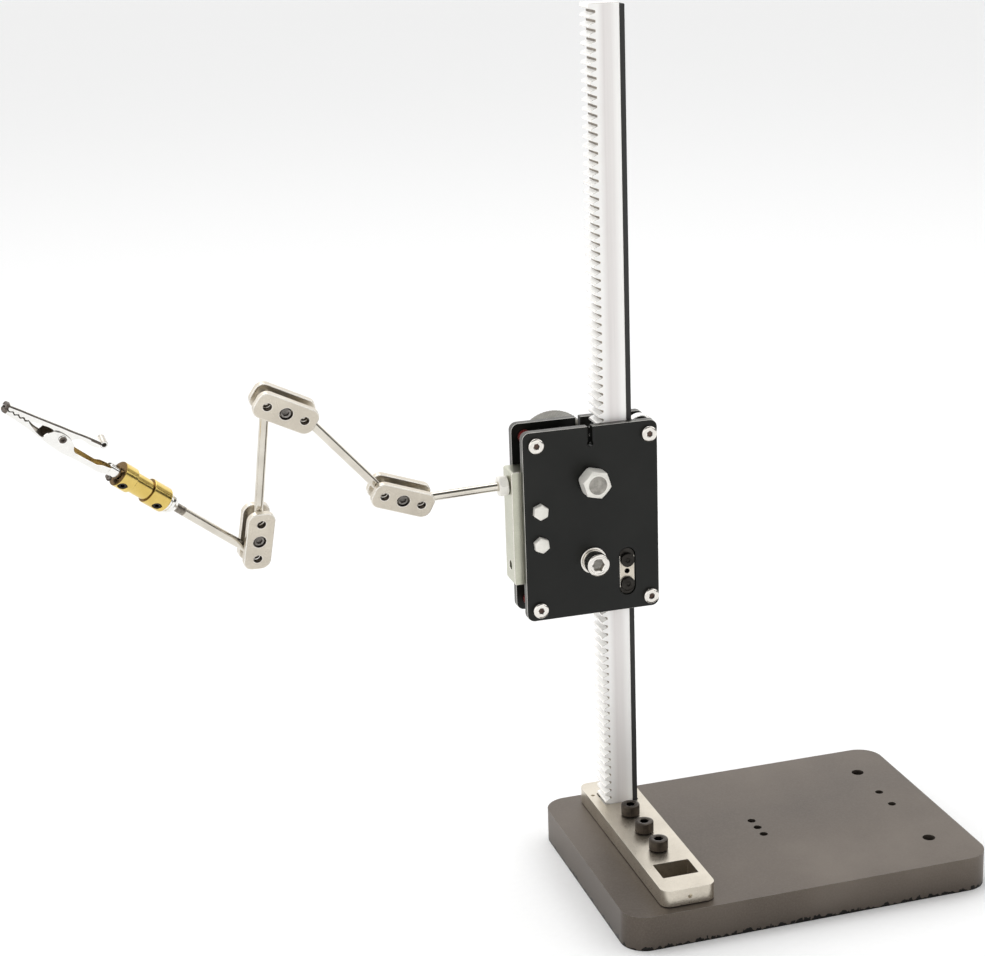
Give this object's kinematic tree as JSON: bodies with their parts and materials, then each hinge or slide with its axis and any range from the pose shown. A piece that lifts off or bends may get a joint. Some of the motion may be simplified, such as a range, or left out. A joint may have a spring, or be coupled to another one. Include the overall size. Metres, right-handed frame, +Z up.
{
  "type": "rack-and-pinion rigging arm",
  "caption": "Stand with a toothed rack on a steel base, a knob-driven geared carriage and a posable ball-jointed arm ending in a crocodile clip.",
  "frame": {"origin": "centre of the base plate's underside", "axes": "+Z up along the rack; +X to the right, away from the arm; -Y towards the user, on the side of the front plate"},
  "size_m": [0.3258, 0.1195, 0.3135],
  "materials": {
    "dark_steel": "satin, blackened, cut edges",
    "nickel": "satin nickel plate",
    "bright_steel": "bright nickel plate",
    "black_anodised": "black, semi-gloss",
    "black_oxide": "black oxide",
    "red_anodised": "dark red, semi-gloss",
    "knob_steel": "knurled grey steel",
    "brass": "turned brass",
    "chrome": "bright plate",
    "rubber": "matt black"
  },
  "bodies": {
    "base": {"base_plate": "dark_steel", "foot_bar": "nickel", "foot_screw_1": "black_oxide", "foot_screw_2": "black_oxide", "foot_screw_3": "black_oxide", "rack": "bright_steel", "rack_strip": "rubber"},
    "carriage": {"front_plate": "black_anodised", "rear_plate": "black_anodised", "lower_spacer": "red_anodised", "upper_spacer": "red_anodised", "corner_screw_1": "bright_steel", "corner_screw_2": "bright_steel", "corner_screw_3": "bright_steel", "corner_screw_4": "bright_steel", "lower_roller_core": "nickel", "upper_roller_core": "nickel", "arm_bar": "nickel", "bar_bolt_1": "bright_steel", "bar_bolt_2": "bright_steel", "friction_shoe": "nickel", "shoe_screw_1": "black_oxide", "shoe_screw_2": "black_oxide", "rod_1": "nickel", "rod_1_nut": "nickel"},
    "drive": {"drive_bolt": "bright_steel", "drive_washer": "nickel", "drive_gear": "nickel", "drive_knob": "knob_steel"},
    "idler": {"idler_axle": "bright_steel", "idler_washer": "bright_steel", "idler_nut": "bright_steel", "idler_gear": "nickel"},
    "lower_roller": {"lower_roller_ring": "chrome"},
    "upper_roller": {"upper_roller_ring": "chrome"},
    "first_ball": {"ball_1": "nickel"},
    "first_joint": {"joint_1_front": "nickel", "joint_1_rear": "nickel", "joint_1_screw": "black_oxide"},
    "upper_arm": {"rod_2": "nickel"},
    "second_ball": {"ball_2": "nickel"},
    "second_joint": {"joint_2_front": "nickel", "joint_2_rear": "nickel", "joint_2_screw": "black_oxide"},
    "forearm": {"rod_3": "nickel"},
    "third_ball": {"ball_3": "nickel"},
    "third_joint": {"joint_3_front": "nickel", "joint_3_rear": "nickel", "joint_3_screw": "black_oxide"},
    "wrist_ball": {"ball_4": "nickel"},
    "tip": {"rod_4": "nickel", "coupler": "brass", "coupler_ferrule": "chrome", "coupler_screw_1": "black_oxide", "coupler_screw_2": "black_oxide", "clip_fixed_jaw": "chrome", "clip_rivet": "chrome", "clip_spring": "black_oxide"},
    "jaw": {"clip_moving_jaw": "chrome"}
  },
  "joints": [
    {"name": "carriage_lift", "type": "slide", "parent": "base", "child": "carriage", "axis": [0, 0, 1], "range_m": [-0.078, 0.143]},
    {"name": "drive_turn", "type": "hinge", "parent": "carriage", "child": "drive", "pos_m": [-0.05595, 0.0311, 0.149], "axis": [0, 1, 0], "continuous": true},
    {"name": "idler_turn", "type": "hinge", "parent": "carriage", "child": "idler", "pos_m": [-0.05595, 0.0311, 0.1188], "axis": [0, 1, 0], "continuous": true},
    {"name": "lower_roller_turn", "type": "hinge", "parent": "carriage", "child": "lower_roller", "pos_m": [-0.0341, 0.0311, 0.1024], "axis": [0, 1, 0], "continuous": true},
    {"name": "upper_roller_turn", "type": "hinge", "parent": "carriage", "child": "upper_roller", "pos_m": [-0.0341, 0.0311, 0.1639], "axis": [0, 1, 0], "continuous": true},
    {"name": "twist_1", "type": "hinge", "parent": "carriage", "child": "first_ball", "pos_m": [-0.1171, 0.0311, 0.14695], "axis": [0.9994, 0, 0.0337], "continuous": true},
    {"name": "swing_1", "type": "hinge", "parent": "first_ball", "child": "first_joint", "pos_m": [-0.1171, 0.0311, 0.14695], "axis": [0, -0.9537, -0.3007], "range_deg": [-70, 110]},
    {"name": "swing_2", "type": "hinge", "parent": "first_joint", "child": "upper_arm", "pos_m": [-0.13038, 0.0295, 0.15202], "axis": [0, 0.9537, 0.3007], "range_deg": [-110, 85]},
    {"name": "twist_2", "type": "hinge", "parent": "upper_arm", "child": "second_ball", "pos_m": [-0.15838, 0.0191, 0.185], "axis": [-0.6293, -0.2337, 0.7412], "continuous": true},
    {"name": "swing_3", "type": "hinge", "parent": "second_ball", "child": "second_joint", "pos_m": [-0.15838, 0.0191, 0.185], "axis": [0, -0.9537, -0.3007], "range_deg": [-120, 35]},
    {"name": "swing_4", "type": "hinge", "parent": "second_joint", "child": "forearm", "pos_m": [-0.17088, 0.01701, 0.19163], "axis": [0, 0.9537, 0.3007], "range_deg": [-20, 150]},
    {"name": "twist_3", "type": "hinge", "parent": "forearm", "child": "third_ball", "pos_m": [-0.174, 0.03114, 0.14681], "axis": [-0.0663, 0.3, -0.9516], "range_deg": [-140, 140]},
    {"name": "swing_5", "type": "hinge", "parent": "third_ball", "child": "third_joint", "pos_m": [-0.174, 0.03114, 0.14681], "axis": [0.1181, -0.9446, -0.3061], "range_deg": [-45, 120]},
    {"name": "swing_6", "type": "hinge", "parent": "third_joint", "child": "wrist_ball", "pos_m": [-0.17554, 0.03535, 0.13323], "axis": [-0.1181, 0.9446, 0.3061], "range_deg": [-170, 14]},
    {"name": "twist_4", "type": "hinge", "parent": "wrist_ball", "child": "tip", "pos_m": [-0.17554, 0.03535, 0.13323], "axis": [-0.7224, -0.2933, 0.6263], "continuous": true},
    {"name": "jaw_open", "type": "hinge", "parent": "tip", "child": "jaw", "pos_m": [-0.23809, 0.00928, 0.18955], "axis": [-0.1181, 0.9446, 0.3061], "range_deg": [0, 18], "stiffness_Nm_per_rad": 0.12, "springref_deg": -22.92}
  ],
  "couplings": [
    {"joint": "drive_turn", "follows": "carriage_lift", "rad_per_m": 200},
    {"joint": "idler_turn", "follows": "carriage_lift", "rad_per_m": 200},
    {"joint": "lower_roller_turn", "follows": "carriage_lift", "rad_per_m": -200},
    {"joint": "upper_roller_turn", "follows": "carriage_lift", "rad_per_m": -200}
  ]
}
